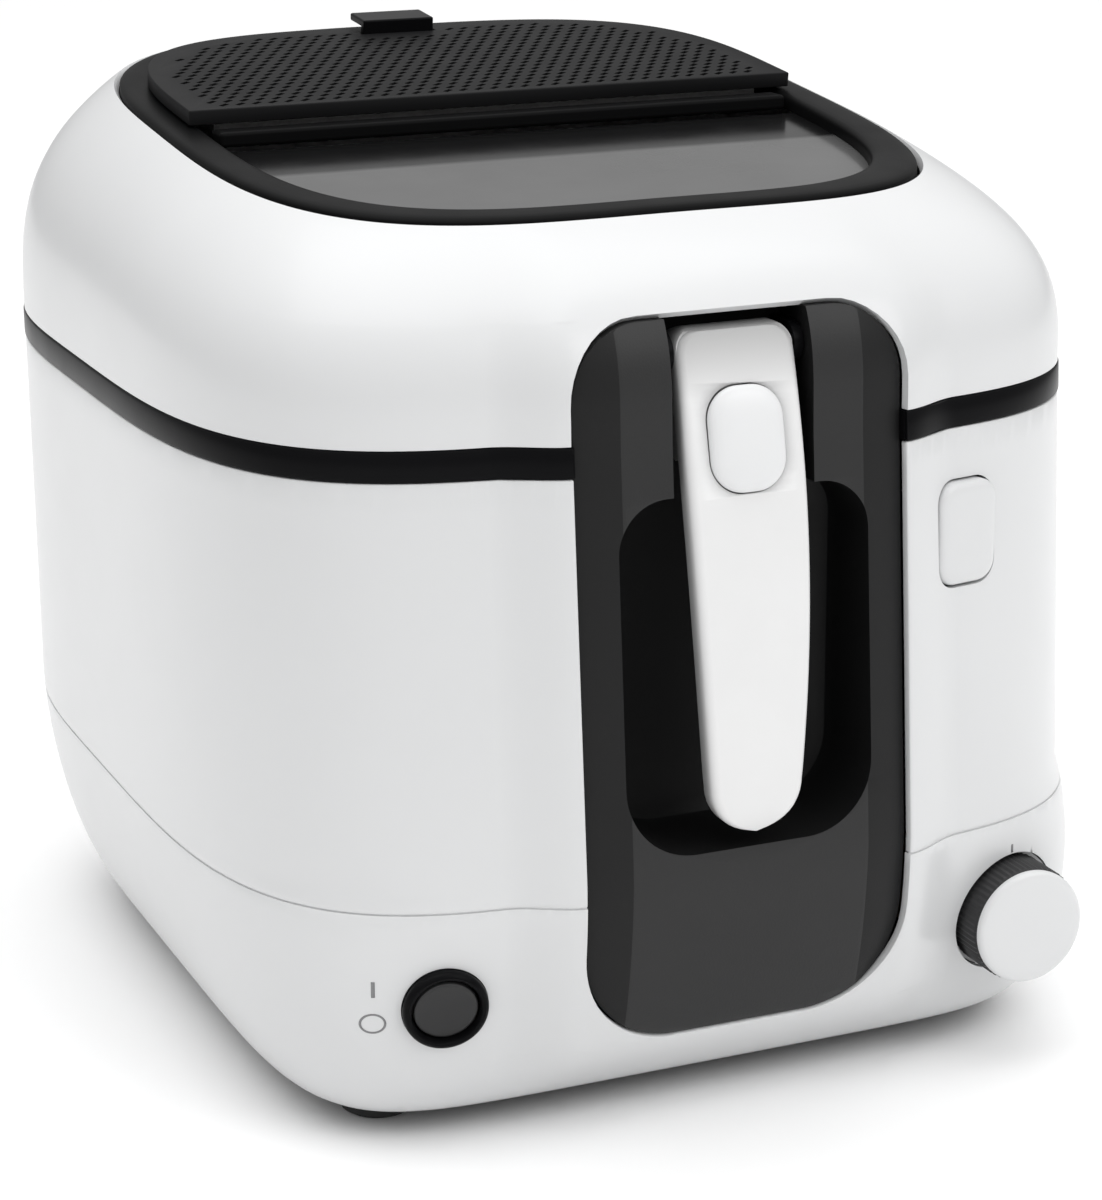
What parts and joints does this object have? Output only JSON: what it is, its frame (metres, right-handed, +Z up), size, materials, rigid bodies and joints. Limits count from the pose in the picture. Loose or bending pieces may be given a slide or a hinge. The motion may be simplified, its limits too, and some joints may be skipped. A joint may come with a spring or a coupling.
{
  "type": "deep fryer",
  "caption": "Household deep fryer with a tapered white body, domed hinged lid with window and filter cover, dark front tower with fold-up basket handle, thermostat knob and power switch.",
  "frame": {"origin": "on the standing surface, under the middle of the whole fryer", "axes": "+Z up, front panel and handle towards -Y, lid hinge towards +Y, +X to the right of someone facing the front"},
  "size_m": [0.2704, 0.3278, 0.276],
  "materials": {
    "white_plastic": "satin-gloss moulded white",
    "black_gloss": "gloss black",
    "dark_satin": "fine-grained satin, dark grey",
    "grey_plastic": "moulded",
    "foot_rubber": "matt",
    "steel": "plain",
    "nonstick": "dark non-stick coating",
    "bare_aluminium": "satin",
    "phenolic": "moulded",
    "smoked_glass": "smoked, glossy",
    "seal_silicone": "soft, matt",
    "filter_mesh": "woven mesh",
    "cover_plastic": "fine satin",
    "handle_grey": "satin",
    "basket_wire": "bright plated wire",
    "knob_grey": "satin",
    "knob_silver": "light grey satin"
  },
  "bodies": {
    "housing": {"base_shell": "white_plastic", "body_shell": "white_plastic", "rim_ring": "black_gloss", "front_panel": "dark_satin", "bottom_plate": "grey_plastic", "feet": "foot_rubber", "bottom_screws": "steel", "bowl": "nonstick", "heating_element": "steel", "heat_shield": "bare_aluminium", "thermostat": "phenolic", "safety_cutout": "steel", "terminal_block": "phenolic", "knob_bezel": "white_plastic", "switch_bezel": "black_gloss", "switch_body": "grey_plastic", "cord_gland": "grey_plastic", "hinge_bracket": "black_gloss", "hinge_screws": "steel", "hinge_pin": "steel", "latch_bracket": "grey_plastic", "latch_pin": "steel", "handle_bracket": "black_gloss", "handle_pin": "steel"},
    "lid": {"lid_shell": "white_plastic", "lid_frame": "black_gloss", "window_pane": "smoked_glass", "window_seal": "seal_silicone", "lid_liner": "bare_aluminium", "lid_seal": "seal_silicone", "lid_catch": "grey_plastic", "lid_knuckle": "black_gloss", "lid_screws": "steel", "grease_filter": "filter_mesh"},
    "cover": {"filter_cover": "cover_plastic", "cover_tab": "black_gloss"},
    "handle": {"handle_shell": "white_plastic", "handle_back": "handle_grey"},
    "grip_button": {"handle_button": "white_plastic"},
    "basket": {"basket_mesh": "basket_wire", "basket_rim": "basket_wire", "basket_arm": "basket_wire"},
    "release_button": {"lid_button": "white_plastic"},
    "latch": {"lid_latch": "grey_plastic"},
    "knob": {"knob_skirt": "knob_grey", "knob_cap": "knob_silver", "knob_shaft": "steel"},
    "rocker": {"switch_rocker": "black_gloss"}
  },
  "joints": [
    {"name": "lid_hinge", "type": "hinge", "parent": "housing", "child": "lid", "pos_m": [0, 0.1578, 0.198], "axis": [-1, 0, 0], "range_deg": [0, 80]},
    {"name": "cover_hinge", "type": "hinge", "parent": "lid", "child": "cover", "pos_m": [0, 0.013, 0.258], "axis": [1, 0, 0], "range_deg": [0, 60]},
    {"name": "handle_fold", "type": "hinge", "parent": "housing", "child": "handle", "pos_m": [0, -0.141, 0.214], "axis": [-1, 0, 0], "range_deg": [0, 85]},
    {"name": "basket_raise", "type": "slide", "parent": "housing", "child": "basket", "axis": [0, 0, 1], "range_m": [0, 0.028]},
    {"name": "handle_button_press", "type": "slide", "parent": "handle", "child": "grip_button", "axis": [0, 0.9781, -0.2079], "range_m": [0, 0.0025], "stiffness_N_per_m": 400},
    {"name": "lid_button_press", "type": "slide", "parent": "housing", "child": "release_button", "axis": [-0.1736, 0.9848, 0], "range_m": [0, 0.003], "stiffness_N_per_m": 500},
    {"name": "latch_turn", "type": "hinge", "parent": "housing", "child": "latch", "pos_m": [0.0715, -0.1322, 0.1705], "axis": [1, 0, 0], "range_deg": [0, 13]},
    {"name": "thermostat_turn", "type": "hinge", "parent": "housing", "child": "knob", "pos_m": [0.0884, -0.1427, 0.0422], "axis": [0, 1, 0], "range_deg": [0, 270]},
    {"name": "power_rocker", "type": "hinge", "parent": "housing", "child": "rocker", "pos_m": [-0.0842, -0.1462, 0.0443], "axis": [-0.9848, 0.1736, 0], "range_deg": [0, 8]}
  ],
  "couplings": [
    {"joint": "basket_raise", "follows": "handle_fold", "m_per_rad": 0.01887},
    {"joint": "latch_turn", "follows": "lid_button_press", "rad_per_m": 71.4}
  ]
}
